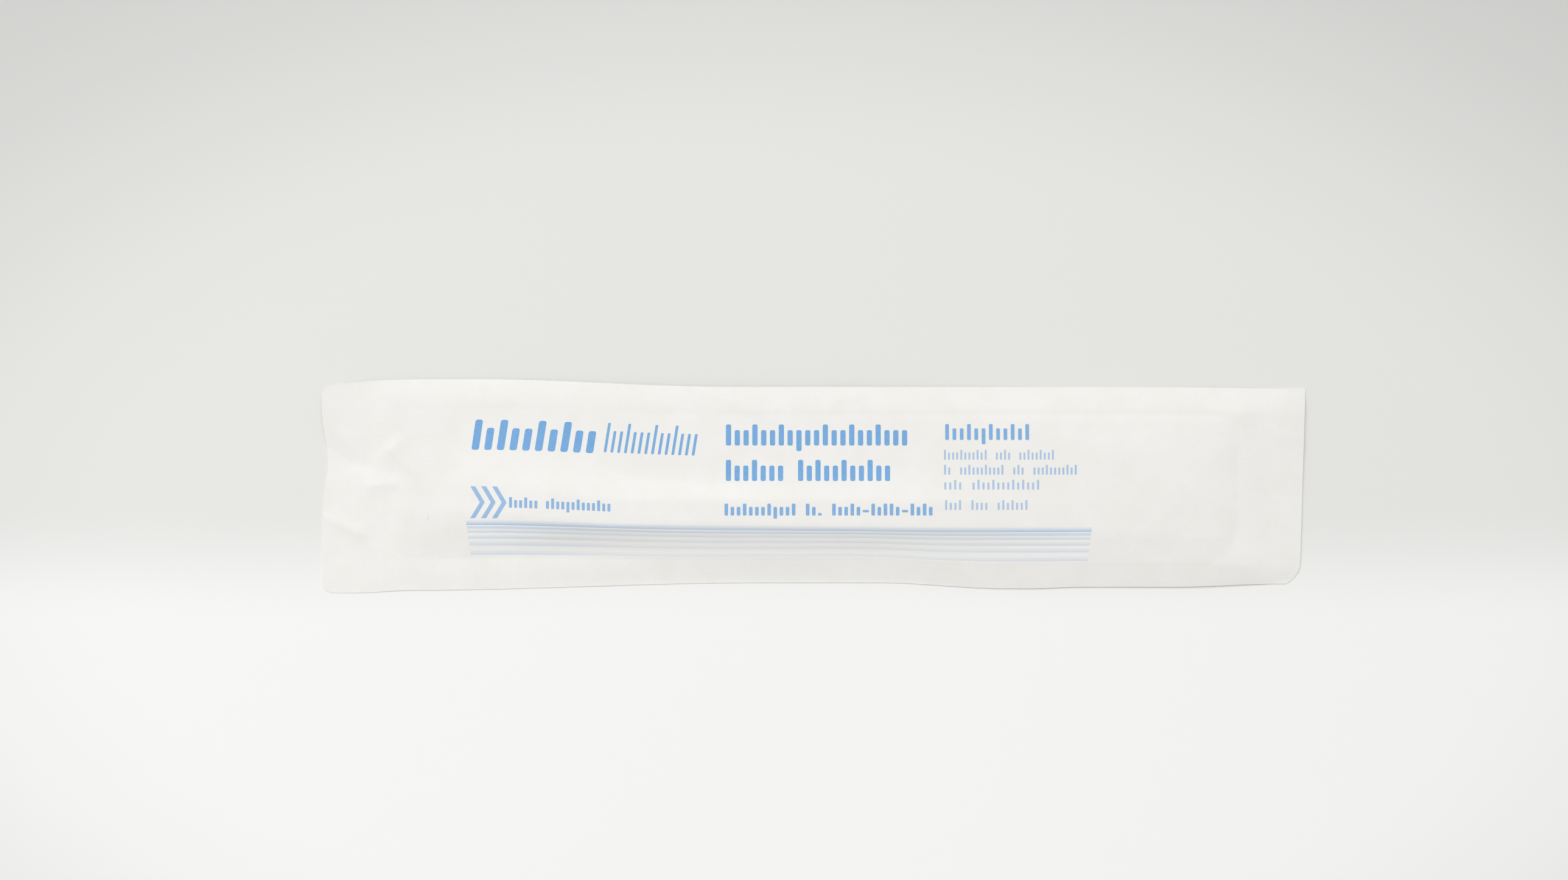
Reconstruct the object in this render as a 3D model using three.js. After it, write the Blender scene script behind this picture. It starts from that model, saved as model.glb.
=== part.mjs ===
// Sealed paper peel pouch with one disposable cell lifter inside, lying on its back web.
// Lengths are in millimetres. +X runs along the pouch, +Y across it and +Z up from the plate.
// A value with "from" and "to" goes from its start to its later value between those places.
// Places along the pouch are counted from the end that the handle points to.
import * as THREE from 'three';

// The pouch as sealed, before the lifter pulls it out of flat
const pouchLength = 241;
const pouchWidth = 52.4;
const webThickness = 0.1;
const upperSeal = 6.5;
const lowerSeal = 8;
const endSeal = 16.5;
const upperCorner = 3.7;
const lowerCorner = 2.2;

// The lifter that the two webs are drawn over
const handleThickness = 4.3;
const handleStartThickness = 1.9;
const handleTipThickness = 2.25;
const handleSwell = 40.5;
const handleTaper = 78;
const handleGap = 5.5;
const bladeGap = 1;
const bladeAlong = 19;
const bladeAcross = 20;
const handleLength = pouchLength - 2 * endSeal - handleGap - bladeGap - bladeAlong;
const handleShift = { start: -2.3, later: -5.8, from: 32.5, to: 75.5 };
const handleSlant = { from: 75.5, to: 204.5, by: -1.2 };
const bladeShift = -4;

// How the webs hang between the lifter and the seals
const crestHalf = 2.3;
const crestEase = 1;
const crestRound = { start: 3, later: 1.2, from: 45.5, to: 75.5 };
const lowerSag = { start: 1, later: 1.6, from: 32.5, to: 62.5 };
const upperSag = { start: 1.7, later: 3, from: 45.5, to: 75.5 };
const bladeSag = { later: 2, from: 105.5, to: 170.5 };
const sideEase = 1;
const backSag = 1.1;
const footWidth = 16;
const pocketCornerEase = 6;
const bladeArch = { top: 2.9, y: 5, reach: 16, from: 45.5, to: 80.5 };
const archEase = { sides: 0.5, ends: 0.6 };

// How the seals lie above the plate, and how far each one droops from its seal line to its edge
const upperSealHeight = 1.75;
const upperSealLift = [
  { from: 20, to: 70, by: 0.5 },
  { from: 140, to: 195, by: -0.5 },
];
const lowerSealHeight = 0.2;
const lowerSealLift = [
  { from: 30, to: 90, by: 0.85 },
  { from: 150, to: 210, by: 0.1 },
];
const upperDroop = { start: 0.8, later: 1.5, from: 90, to: 180 };
const lowerDroop = { start: 0.25, later: 0.9, from: 50, to: 110 };
const droopBow = { start: 1.9, later: 1.1, from: 60, to: 170 };
const upperDroopBegins = { from: -6, to: 30 };
const handleEndDroop = 1.1;
const bladeEndDroop = 1.2;
const droopEase = 1;
const endDroopEase = 3;
const upCurl = { height: 1, reach: 14, bow: 1.5, from: 4, to: 30 };
const edgeWave = { height: 0.12, perRadian: 19, shift: 2.4 };
const plateEase = 0.15;

// Edges that are drawn in, step by step, with inward steps on the lower edge counted as positive
const upperBend = { from: 38, to: 100, by: -1.9 };
const upperTaper = { from: 200, to: 241, by: -0.4 };
const upperFall = { reach: 12, depth: 0.9 };
const lowerSteps = [
  { from: 6, to: 22, by: 0.7 },
  { from: 22, to: 108, by: 1.85 },
  { from: 136, to: 168, by: -1.45 },
  { from: 174, to: 186, by: 0.4 },
  { from: 210, to: 238, by: 0.75 },
];
const evenStrip = 6;
const upperEdgeBow = 1.5;
const lowerEdgeBow = { start: 1.5, later: 3, from: 130, to: 165 };
const endSlant = 0.75;
const endPinch = { y: 6, reach: 7.3, depth: 1.4 };
const curledCorner = { along: 3.2, across: 8, bow: 1.7 };
const endsOnly = 6;

// Creases through both webs, the first four at the handle's end and the others at the blade's end
const endValley = { x1: -1.5, y1: 7, x2: 11.5, y2: 2.2, lift: -0.7, above: 5, below: 2.4, fade: 3.5 };
const endRidge = { x1: -3.5, y1: -4.9, x2: 7.3, y2: -10.2, lift: 0.5, above: 3.5, below: 2.2, fade: 2.6 };
const cornerRidge = { x1: -1.5, y1: 14.5, x2: 11.5, y2: 11.5, lift: 0.15, above: 4, below: 4, fade: 5 };
const tipHip = { x1: 15.7, y1: 9.6, x2: 22.1, y2: 2.6, lift: 0.75, above: 2.2, below: 2.8, fade: 1.8 };
const bladeEndRidge = { x1: 236.5, y1: 12, x2: 244.5, y2: 9, lift: 0.12, above: 4, below: 3, fade: 4 };
const bladeEndValley = { x1: 233.5, y1: -2, x2: 244.5, y2: -4, lift: -0.14, above: 3.5, below: 4, fade: 4 };

// Creases of the front web alone, at the handle's tip, in the upper seal and beside the blade
const tipRidge = { x1: 10.5, y1: 1.6, x2: 17.8, y2: 0.9, lift: 0.22, above: 1.8, below: 1.4, fade: 1.4 };
const tipTurn = { x1: 18.3, y1: 0.2, x2: 21.5, y2: -3, lift: 0.2, above: 1.4, below: 1.2, fade: 1.2 };
const sealCrease = { x1: 87.5, y1: 25.2, x2: 106, y2: 18.6, lift: 0.16, above: 2.6, below: 2.2, fade: 4 };
const bladeCrease = { x1: 188, y1: -12.6, x2: 218, y2: -12.4, lift: 0.12, above: 3, below: 2.4, fade: 4 };

// The long crease where the front web buckles beside the handle, which curves up before its turn
const buckle = { from: 70.5, to: 102.5, y: 1.6, slant: -0.055, depth: 0.42, above: 4.2, below: 2.8, fade: 5 };
const buckleTurn = { at: 77, bow: 0.06 };
const creaseRound = 0.5;
const markEase = { below: 0.5, above: 3 };

// The grid that the skin is drawn on
const sealCells = { along: 7, across: 5 };
const pocketCells = { along: 64, across: 26 };
const crowding = 0.35;

const halfLength = pouchLength / 2;
const halfWidth = pouchWidth / 2;
const upperLine = halfWidth - upperSeal;
const lowerLine = halfWidth - lowerSeal;
const sealedThickness = 2 * webThickness;
const handleStart = endSeal + handleGap;
const handleEnd = handleStart + handleLength;
const bladeMiddle = handleEnd + bladeAlong / 2;

const bell = (offset, reach) => Math.exp(-((offset / reach) ** 2));
const blend = (from, to, part) => from + (to - from) * part;
const share = (at) => THREE.MathUtils.clamp(at, 0, 1);
const ramp = (from, to, at) => THREE.MathUtils.smoothstep((at - from) / (to - from), 0, 1);
const change = ({ start, later, from, to }, at) => blend(start, later, ramp(from, to, at));
const softMax = (a, b) => (a ** 4 + b ** 4) ** 0.25;

// The smaller of two distances, eased where they are nearly the same.
function softMin(a, b, ease) {
  const overlap = Math.max(ease - Math.abs(a - b), 0) / ease;
  return Math.min(a, b) - (overlap * overlap * ease) / 4;
}

// A distance that starts from nothing, with a parabola over the ease on both sides of its zero.
function pastLine(distance, ease) {
  return distance < ease ? Math.max(distance + ease, 0) ** 2 / (4 * ease) : distance;
}

// How much a rounded corner takes off the end of a row, from the row's distance to the long edge.
function cornerCut(toEdge, radius) {
  const inside = Math.max(radius - toEdge, 0);
  return radius - Math.sqrt(radius ** 2 - inside ** 2);
}

// The ends of a row of the flat pouch, from its place across it.
function rowStart(across) {
  const pinch = endPinch.depth * bell(across - endPinch.y, endPinch.reach);
  const radius = across > 0 ? upperCorner : lowerCorner;
  return pinch + cornerCut(halfWidth - Math.abs(across), radius);
}

function rowEnd(across) {
  const slant = endSlant * (1 - across / halfWidth);
  const curl = share(1 - (across + halfWidth) / curledCorner.across) ** curledCorner.bow;
  return pouchLength - slant - curledCorner.along * curl;
}

// How far the drawn-in edges have moved, from the place along the pouch.
const stepped = ({ from, to, by }, along) => by * ramp(from, to, along);
const allSteps = (steps, along) => steps.reduce((sum, step) => sum + stepped(step, along), 0);
const upperMove = (along) => stepped(upperTaper, along) - upperFall.depth * bell(along, upperFall.reach);

// Where a point of the flat pouch lies. The middle bends with the upper edge and keeps its
// width, and the strips beside it close up to the drawn-in edges.
function place(along, across) {
  const bend = stepped(upperBend, along);
  const below = share((-evenStrip - across) / (halfWidth - evenStrip)) ** change(lowerEdgeBow, along);
  const above = share((across - evenStrip) / (halfWidth - evenStrip)) ** upperEdgeBow;
  const y = across + bend + (allSteps(lowerSteps, along) - bend) * below + upperMove(along) * above;
  const nearEnd = Math.abs(along / halfLength - 1) ** endsOnly;
  const moved = along < halfLength ? rowStart(across) : rowEnd(across) - pouchLength;
  return { x: along + moved * nearEnd, y };
}

// How far a point is inside the line where the webs part, with the pocket's corners eased.
const insideEnds = (along) => halfLength - endSeal - Math.abs(along - halfLength);

function insidePocket(along, across) {
  const fromSides = Math.min(across + lowerLine, upperLine - across);
  return Math.max(softMin(fromSides, insideEnds(along), pocketCornerEase), 0);
}

// The handle's centre line, which turns away near its start and then lies a little aslant.
const handleLine = (x) => change(handleShift, x) + stepped(handleSlant, x);

// The top of the front web over the handle, which is thinner at both ends.
function handleTop(x) {
  const swelling = ramp(handleStart, handleStart + handleSwell, x);
  const swollen = blend(handleStartThickness, handleThickness, swelling);
  const thinning = ramp(handleEnd - handleTaper, handleEnd, x);
  return sealedThickness + blend(swollen, handleTipThickness, thinning);
}

const pastHandle = (x) => Math.max(handleStart - x, x - handleEnd, 0);

// Clear distance from the handle's flat crest, rounded at its edges.
function toHandle(x, y) {
  const round = change(crestRound, x);
  const aside = pastLine(Math.abs(y - handleLine(x)) - crestHalf, crestEase);
  return Math.hypot(pastHandle(x), aside, round) - round;
}

// Clear distance from the strip that rests on the plate, under the handle and the blade.
function toFoot(x, y) {
  const pastBlade = Math.max(Math.abs(x - bladeMiddle) - bladeAlong / 2, 0);
  const besideBlade = Math.max(Math.abs(y - bladeShift) - bladeAcross / 2, 0);
  const besideHandle = Math.max(Math.abs(y - handleLine(x)) - footWidth / 2, 0);
  return Math.min(Math.hypot(pastHandle(x), besideHandle), Math.hypot(pastBlade, besideBlade));
}

// The share of the way from the seal to the lifter, hanging below the straight line between them.
function hang(inside, clear, sag) {
  return inside > 0 ? (inside / (inside + clear)) ** sag : 0;
}

// The front web hangs deeper above the crest than below it.
function frontSag(x, y) {
  const above = change({ start: change(upperSag, x), ...bladeSag }, x);
  return blend(change(lowerSag, x), above, ramp(-sideEase, sideEase, y - handleLine(x)));
}

// The share of the low arch over the blade, from the seals up to the arch's ridge.
function archShare(along, across) {
  const upward = (upperLine - across) / (upperLine - bladeArch.y);
  const downward = (across + lowerLine) / (lowerLine + bladeArch.y);
  const fromEnds = insideEnds(along) / bladeArch.reach;
  const climb = share(softMin(softMin(upward, downward, archEase.sides), fromEnds, archEase.ends));
  return climb * (2 - climb);
}

// The droop of the long seals and of the end seals, from each seal line to its edge.
function droop(along, across) {
  const bow = change(droopBow, along);
  const upper = change(upperDroop, along) * ramp(upperDroopBegins.from, upperDroopBegins.to, along);
  const aboveLine = (pastLine(across - upperLine, droopEase) / upperSeal) ** bow;
  const belowLine = (pastLine(-across - lowerLine, droopEase) / lowerSeal) ** bow;
  const handleEndLine = pastLine(endSeal - along, endDroopEase) / endSeal;
  const bladeEndLine = pastLine(along - pouchLength + endSeal, endDroopEase) / endSeal;
  const sides = upper * aboveLine + change(lowerDroop, along) * belowLine;
  return Math.hypot(sides, handleEndDroop * handleEndLine + bladeEndDroop * bladeEndLine);
}

// Lift of a crease: full on its line, fading on both sides and past both ends.
function creaseLift({ x1, y1, x2, y2, lift, above, below, fade }, x, y) {
  const half = Math.hypot(x2 - x1, y2 - y1) / 2;
  const turn = Math.atan2(y2 - y1, x2 - x1);
  const [overX, overY] = [x - (x1 + x2) / 2, y - (y1 + y2) / 2];
  const past = Math.max(Math.abs(overX * Math.cos(turn) + overY * Math.sin(turn)) - half, 0);
  const aside = overY * Math.cos(turn) - overX * Math.sin(turn);
  return lift * sideFade(aside, above, below) * bell(past, fade);
}

const allCreases = (folds, x, y) => folds.reduce((sum, fold) => sum + creaseLift(fold, x, y), 0);

function sideFade(aside, above, below) {
  const away = Math.hypot(aside, creaseRound) - creaseRound;
  return Math.exp(-away / (aside > 0 ? above : below));
}

function buckleDepth(x, y) {
  const over = x - buckleTurn.at;
  const aside = y - buckle.y - buckle.slant * over - buckleTurn.bow * Math.min(over, 0) ** 2;
  const past = Math.max(buckle.from - x, x - buckle.to, 0);
  return buckle.depth * sideFade(aside, buckle.above, buckle.below) * bell(past, buckle.fade);
}

// Height of the middle of the seal, carried on through the pocket, eased where it nears the plate.
function sealPlane(along, across, x, y) {
  const low = lowerSealHeight + allSteps(lowerSealLift, along);
  const high = upperSealHeight + allSteps(upperSealLift, along);
  const level = blend(low, high, share((across + lowerLine) / (lowerLine + upperLine)));
  const phase = along / edgeWave.perRadian + edgeWave.shift * Math.sign(across);
  const wave = edgeWave.height * Math.abs(across / halfWidth) * Math.sin(phase);
  const curled = share(1 - along / upCurl.reach) ** upCurl.bow * ramp(upCurl.from, upCurl.to, across);
  const folds = allCreases([endValley, endRidge, cornerRidge, tipHip, bladeEndRidge, bladeEndValley], x, y);
  const height = level + wave + upCurl.height * curled - droop(along, across) + folds - webThickness;
  return webThickness + (height + Math.hypot(height, plateEase)) / 2;
}

// How far the lifter lifts the front web above the flat pouch.
function frontRise(along, across, x, y, flatFront) {
  const inside = insidePocket(along, across);
  const overHandle = (handleTop(x) - flatFront) * hang(inside, toHandle(x, y), frontSag(x, y));
  const arch = archShare(along, across) * ramp(bladeArch.from, bladeArch.to, x);
  const overBlade = (bladeArch.top - flatFront) * arch;
  const marks = allCreases([tipRidge, tipTurn, sealCrease, bladeCrease], x, y) - buckleDepth(x, y);
  const rise = softMax(Math.max(overHandle, 0), Math.max(overBlade, 0));
  return rise + marks * ramp(-markEase.below, markEase.above, inside);
}

// The two faces of the pouch at one point. The lower one lies flat where it meets the plate.
function faces(along, across) {
  const { x, y } = place(along, across);
  const middle = sealPlane(along, across, x, y);
  const flatFront = middle + webThickness;
  const flatBack = middle - webThickness;
  const backDrop = (flatBack + webThickness) * hang(insidePocket(along, across), toFoot(x, y), backSag);
  const back = Math.max(flatBack - backDrop, 0);
  const front = Math.max(flatFront + frontRise(along, across, x, y, flatFront), back + sealedThickness);
  return { x, y, front, back };
}

// Stations that close up towards both ends of a span.
function stations(from, to, count) {
  return Array.from({ length: count + 1 }, (_, i) => {
    const even = i / count;
    const eased = (1 - Math.cos(Math.PI * even)) / 2;
    return blend(from, to, blend(even, eased, crowding));
  });
}

// Stations over a seal, the pocket and the other seal.
function zoneStations(start, firstLine, lastLine, end, inSeal, inPocket) {
  return [
    ...stations(start, firstLine, inSeal).slice(0, -1),
    ...stations(firstLine, lastLine, inPocket),
    ...stations(lastLine, end, inSeal).slice(1),
  ];
}

// The grid's outer points, anticlockwise from above.
function rimLoop(lastColumn, lastRow, at) {
  const run = (count, point) => Array.from({ length: count }, (_, k) => point(k));
  return [
    ...run(lastColumn, (k) => at(k, 0)),
    ...run(lastRow, (k) => at(lastColumn, k)),
    ...run(lastColumn, (k) => at(lastColumn - k, lastRow)),
    ...run(lastRow, (k) => at(0, lastRow - k)),
  ];
}

// Triangles of the two faces and of the narrow rim that joins them.
function skinTriangles(columnCount, rowCount) {
  const below = columnCount * rowCount;
  const at = (i, j) => i * rowCount + j;
  const triangles = [];
  const quad = (a, b, c, d) => triangles.push(a, b, c, a, c, d);
  for (let i = 0; i < columnCount - 1; i += 1) {
    for (let j = 0; j < rowCount - 1; j += 1) {
      quad(at(i, j), at(i + 1, j), at(i + 1, j + 1), at(i, j + 1));
      quad(below + at(i, j + 1), below + at(i + 1, j + 1), below + at(i + 1, j), below + at(i, j));
    }
  }
  const rim = rimLoop(columnCount - 1, rowCount - 1, at);
  rim.forEach((point, k) => {
    const next = rim[(k + 1) % rim.length];
    quad(below + point, below + next, next, point);
  });
  return triangles;
}

// A closed skin from the two faces on one grid.
function pouchGeometry() {
  const lengthwise = [0, endSeal, pouchLength - endSeal, pouchLength];
  const crosswise = [-halfWidth, -lowerLine, upperLine, halfWidth];
  const columns = zoneStations(...lengthwise, sealCells.along, pocketCells.along);
  const rows = zoneStations(...crosswise, sealCells.across, pocketCells.across);
  const points = columns.flatMap((along) => rows.map((across) => faces(along, across)));
  const positions = [
    ...points.flatMap(({ x, y, front }) => [x, y, front]),
    ...points.flatMap(({ x, y, back }) => [x, y, back]),
  ];
  const geometry = new THREE.BufferGeometry();
  geometry.setAttribute('position', new THREE.Float32BufferAttribute(positions, 3));
  geometry.setIndex(skinTriangles(columns.length, rows.length));
  return geometry;
}

// Puts the middle of the box over the origin and the lowest faces on the plate.
function centred(geometry) {
  geometry.computeBoundingBox();
  const middle = geometry.boundingBox.getCenter(new THREE.Vector3());
  geometry.translate(-middle.x, -middle.y, -geometry.boundingBox.min.z);
  geometry.computeVertexNormals();
  return geometry;
}

const paper = new THREE.MeshStandardMaterial({ color: 0xf0efeb, roughness: 0.85, metalness: 0 });
const sealedPouch = new THREE.Mesh(centred(pouchGeometry()), paper);
sealedPouch.name = 'sealed_pouch';

const pouch = new THREE.Group();
pouch.name = 'peel_pouch';
pouch.add(sealedPouch);

export default pouch;
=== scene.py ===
import math

import bpy
import numpy as np
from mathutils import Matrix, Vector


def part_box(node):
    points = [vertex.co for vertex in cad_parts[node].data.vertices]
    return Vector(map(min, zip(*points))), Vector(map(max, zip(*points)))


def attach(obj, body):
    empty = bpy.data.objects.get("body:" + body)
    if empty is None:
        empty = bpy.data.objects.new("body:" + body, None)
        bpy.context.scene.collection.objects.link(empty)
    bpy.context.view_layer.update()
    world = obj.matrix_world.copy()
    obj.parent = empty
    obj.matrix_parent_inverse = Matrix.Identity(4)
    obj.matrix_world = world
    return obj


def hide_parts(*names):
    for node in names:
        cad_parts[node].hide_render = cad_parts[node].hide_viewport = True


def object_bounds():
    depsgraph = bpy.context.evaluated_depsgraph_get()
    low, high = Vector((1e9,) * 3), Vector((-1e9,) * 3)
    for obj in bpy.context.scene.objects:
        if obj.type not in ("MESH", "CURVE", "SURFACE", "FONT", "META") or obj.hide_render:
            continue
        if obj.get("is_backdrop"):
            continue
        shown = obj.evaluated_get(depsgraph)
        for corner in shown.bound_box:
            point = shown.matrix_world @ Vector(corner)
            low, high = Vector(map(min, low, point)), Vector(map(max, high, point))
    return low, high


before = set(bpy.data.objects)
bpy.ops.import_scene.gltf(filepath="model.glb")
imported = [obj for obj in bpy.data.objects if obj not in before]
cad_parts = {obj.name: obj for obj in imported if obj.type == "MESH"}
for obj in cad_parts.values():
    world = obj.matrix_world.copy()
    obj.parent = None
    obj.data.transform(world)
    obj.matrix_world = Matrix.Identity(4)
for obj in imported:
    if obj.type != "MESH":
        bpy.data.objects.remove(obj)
cadBox = [list(corner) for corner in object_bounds()]
print("frame loaded", cadBox)

# Lengths are in millimetres, from the middle of the pouch: x along it, y across it, z up from the floor.
# The same place before the bulge draws the paper in is called along and across.
# A step (start, stop, height) climbs smoothly between two places along the pouch, and a change
# (first, later, start, stop) goes from one value to another between them. For the edges, the seals and
# the groove those places are counted from the left end, where the handle starts, and else from the middle.
mm = 0.001
lowCorner, highCorner = (np.array(corner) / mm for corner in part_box("sealed_pouch"))
halfLength, halfWidth = (highCorner - lowCorner)[:2] / 2


# smooth step, t squared x (3 - 2 t): 0 below low, 1 above high, with level ends
def ramp(low, high, at):
    t = np.clip((at - low) / (high - low), 0, 1)
    return t * t * (3 - 2 * t)


# first + (later - first) x the smooth step from start to stop
def change(first, later, start, stop, at):
    return first + (later - first) * ramp(start, stop, at)


# the sum of each step's height x its smooth step
def climb(steps, at):
    return sum(height * ramp(start, stop, at) for start, stop, height in steps)


# e to the power minus (offset over reach) squared
def bell(offset, reach):
    return np.exp(-((offset / reach) ** 2))


# 0 well before a line and the distance itself well past it, and (distance + turn) squared / (4 x turn)
# within a turn of it
def pastLine(distance, turn):
    return np.where(distance < turn, np.maximum(distance + turn, 0) ** 2 / (4 * turn), distance)


# a distance that starts gently: the root of (distance squared + radius squared), less the radius
def rounded(distance, radius):
    return np.sqrt(distance**2 + radius**2) - radius


# the smaller of two distances, eased by a quarter of the overlap squared where they are nearly the same
def softMin(a, b, ease):
    overlap = np.maximum(ease - np.abs(a - b), 0) / ease
    return np.minimum(a, b) - overlap**2 * ease / 4


# a grid of fixed random heights, turned and stretched, read between its points with smooth-step weights
def ripple(x, y, seed, size, turn, stretch):
    count = 64
    lattice = np.random.default_rng(seed).uniform(-1, 1, (count, count))
    u = (x * math.cos(turn) + y * math.sin(turn)) / (size * stretch)
    v = (y * math.cos(turn) - x * math.sin(turn)) / size
    column, row = np.floor(u).astype(int), np.floor(v).astype(int)
    a, b = ramp(0, 1, u - column), ramp(0, 1, v - row)
    corner = lambda i, j: lattice[(column + i) % count, (row + j) % count]
    lower = corner(0, 0) * (1 - a) + corner(1, 0) * a
    upper = corner(0, 1) * (1 - a) + corner(1, 1) * a
    return lower * (1 - b) + upper * b


# the pouch seen from above, with the edges that the bulge has drawn in
pouch = {
    "webThickness": 0.1,
    "upperSeal": 6.5,
    "lowerSeal": 8.0,
    "endSeal": 16.5,
    "upperCorner": 3.7,
    "lowerCorner": 2.2,
    "upperBend": [(38, 100, -1.9)],
    "upperTaper": [(200, 241, -0.4)],
    "upperFall": {"reach": 12, "depth": 0.9},
    "lowerSteps": [
        (6, 22, 0.7),
        (22, 108, 1.85),
        (136, 168, -1.45),
        (174, 186, 0.4),
        (210, 238, 0.75),
    ],
    "evenStrip": 6,  # above and below the middle, where the paper keeps its width
    "upperBow": 1.5,  # power by which the paper closes up to the upper edge
    "lowerBow": (1.5, 3.0, 130, 165),
    "pinch": {"y": 6.0, "reach": 7.3, "depth": 1.4},
    "endSlant": 0.75,
    "curledCorner": {"along": 3.2, "across": 8.0, "bow": 1.7},
    "endsOnly": 6,  # power that keeps what moves at an end near that end
    "sealCells": (24, 12),  # along an end seal, and across a long one
    "pocketCells": (400, 84),
    "spacing": (0.7, 0.3),  # share that is even, and share that closes up towards the seals
}


# the flat upper edge, less a fall x bell at the left corner, plus its steps
def upperEdge(along):
    fall = pouch["upperFall"]["depth"] * bell(along + halfLength, pouch["upperFall"]["reach"])
    return halfWidth - fall + climb(pouch["upperBend"] + pouch["upperTaper"], along + halfLength)


# the flat lower edge plus its steps
def lowerEdge(along):
    return -halfWidth + climb(pouch["lowerSteps"], along + halfLength)


# how far a round corner takes in the end of a row: radius minus the root of (radius squared minus
# inside squared)
def cornerCut(toEdge, radius):
    inside = np.clip(radius - toEdge, 0, radius)
    return radius - np.sqrt(radius**2 - inside**2)


# the flat left end, plus a pinch's depth x bell and the two round corners
def leftEdge(across):
    pinch = pouch["pinch"]
    radius = np.where(across > 0, pouch["upperCorner"], pouch["lowerCorner"])
    taken = pinch["depth"] * bell(across - pinch["y"], pinch["reach"])
    return -halfLength + taken + cornerCut(halfWidth - np.abs(across), radius)


# the flat right end, less a slant that grows downwards and the curled corner's share to the power bow
def rightEdge(across):
    curl = pouch["curledCorner"]
    share = np.clip(1 - (across + halfWidth) / curl["across"], 0, 1)
    slant = pouch["endSlant"] * (1 - across / halfWidth)
    return halfLength - slant - curl["along"] * share ** curl["bow"]


# where a point of the flat paper lies: the even strip follows the upper edge's bend, the strips beside it
# close up to the edges by a power of the way out, and the ends move by a high power of the way from the
# middle
def place(along, across):
    fromEnd = along + halfLength
    bend = climb(pouch["upperBend"], fromEnd)
    even = pouch["evenStrip"]
    below = np.clip((-even - across) / (halfWidth - even), 0, 1)
    above = np.clip((across - even) / (halfWidth - even), 0, 1)
    closing = (lowerEdge(along) + halfWidth - bend) * below ** change(*pouch["lowerBow"], fromEnd)
    opening = (upperEdge(along) - halfWidth - bend) * above ** pouch["upperBow"]
    moved = np.where(along < 0, leftEdge(across) + halfLength, rightEdge(across) - halfLength)
    share = np.abs(along / halfLength) ** pouch["endsOnly"]
    return along + moved * share, across + bend + closing + opening


# how the seals lie: the heights of the long seal lines, and each seal's droop from its line to its edge
seals = {
    "upperHeight": 1.75,
    "upperLift": [(20, 70, 0.5), (140, 195, -0.5)],
    "upperDroop": (0.8, 1.5, 90, 180),
    "upperDroopBegins": (-6, 30),
    "upperBow": (1.9, 1.1, 60, 170),  # power of the droop
    "lowerHeight": 0.45,
    "lowerLift": [(30, 110, 1.0), (150, 210, 0.05)],
    "lowerEdgeLift": [(135, 190, 0.3)],
    "lowerBow": (1.9, 0.85, 40, 90),
    "leftDroop": 1.1,
    "rightDroop": 1.2,
    "turn": 1.0,  # over which the paper turns down at a long seal's line
    "endTurn": 3.0,
    "curl": {"height": 1.0, "reach": 14, "bow": 1.5, "across": (4, 30)},
    "wave": {"height": 0.12, "perRadian": 19, "shift": 2.4},
    "floorEase": 0.15,
}

# creases through both webs and the seal: (from x, y), (to x, y), lift, reach above, reach below, fade
sealCreases = [
    ((-122.0, 7.2), (-110.5, 5.0), -0.6, 5.0, 2.2, 3.0),
    ((-124.0, -5.9), (-112.0, -11.2), 0.5, 1.7, 3.0, 2.6),
    ((-122.0, 14.5), (-109.0, 11.5), 0.15, 4.0, 4.0, 5.0),
    ((-103.0, 8.9), (-97.0, 1.9), 0.75, 2.4, 2.8, 1.8),
    ((-108.5, 0.0), (-102.6, 1.0), 0.3, 1.5, 1.2, 1.2),
    ((-102.2, 0.2), (-99.0, -3.0), 0.22, 1.4, 1.2, 1.2),
    ((-33.0, 25.2), (-14.5, 18.6), 0.2, 2.6, 2.2, 3.0),
    ((5.0, 20.8), (10.6, 22.2), 0.26, 4.0, 1.9, 1.6),
    ((116.0, 12.0), (124.0, 9.0), 0.12, 4.0, 3.0, 4.0),
    ((113.0, -2.0), (124.0, -4.0), -0.14, 3.5, 4.0, 4.0),
]

# the same for the front web alone, by the blade
bladeCreases = [((68.0, -12.6), (98.0, -12.4), 0.12, 3.2, 2.4, 4.0)]
creaseRound = 0.4


# lift x e^(-rounded distance from the line / reach) x bell of the distance past its ends
def crease(x, y, start, stop, lift, above, below, fade):
    length = math.hypot(stop[0] - start[0], stop[1] - start[1])
    ux, uy = (stop[0] - start[0]) / length, (stop[1] - start[1]) / length
    onward = (x - start[0]) * ux + (y - start[1]) * uy
    aside = (y - start[1]) * ux - (x - start[0]) * uy
    reach = np.where(aside > 0, above, below)
    past = np.maximum(np.abs(onward - length / 2) - length / 2, 0)
    return lift * np.exp(-rounded(aside, creaseRound) / reach) * bell(past, fade)


# the sum of the creases in a list
def creases(x, y, marks):
    return sum(crease(x, y, *mark) for mark in marks)


# places across the flat pouch where the webs part: how far below the middle, and how far above it
def sealLines():
    return halfWidth - pouch["lowerSeal"], halfWidth - pouch["upperSeal"]


# distances inside the lines where the webs part: from the long seals and from the end seals
def insideLines(along, across):
    lowerLine, upperLine = sealLines()
    fromSides = np.minimum(across + lowerLine, upperLine - across)
    return fromSides, halfLength - pouch["endSeal"] - np.abs(along)


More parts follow.
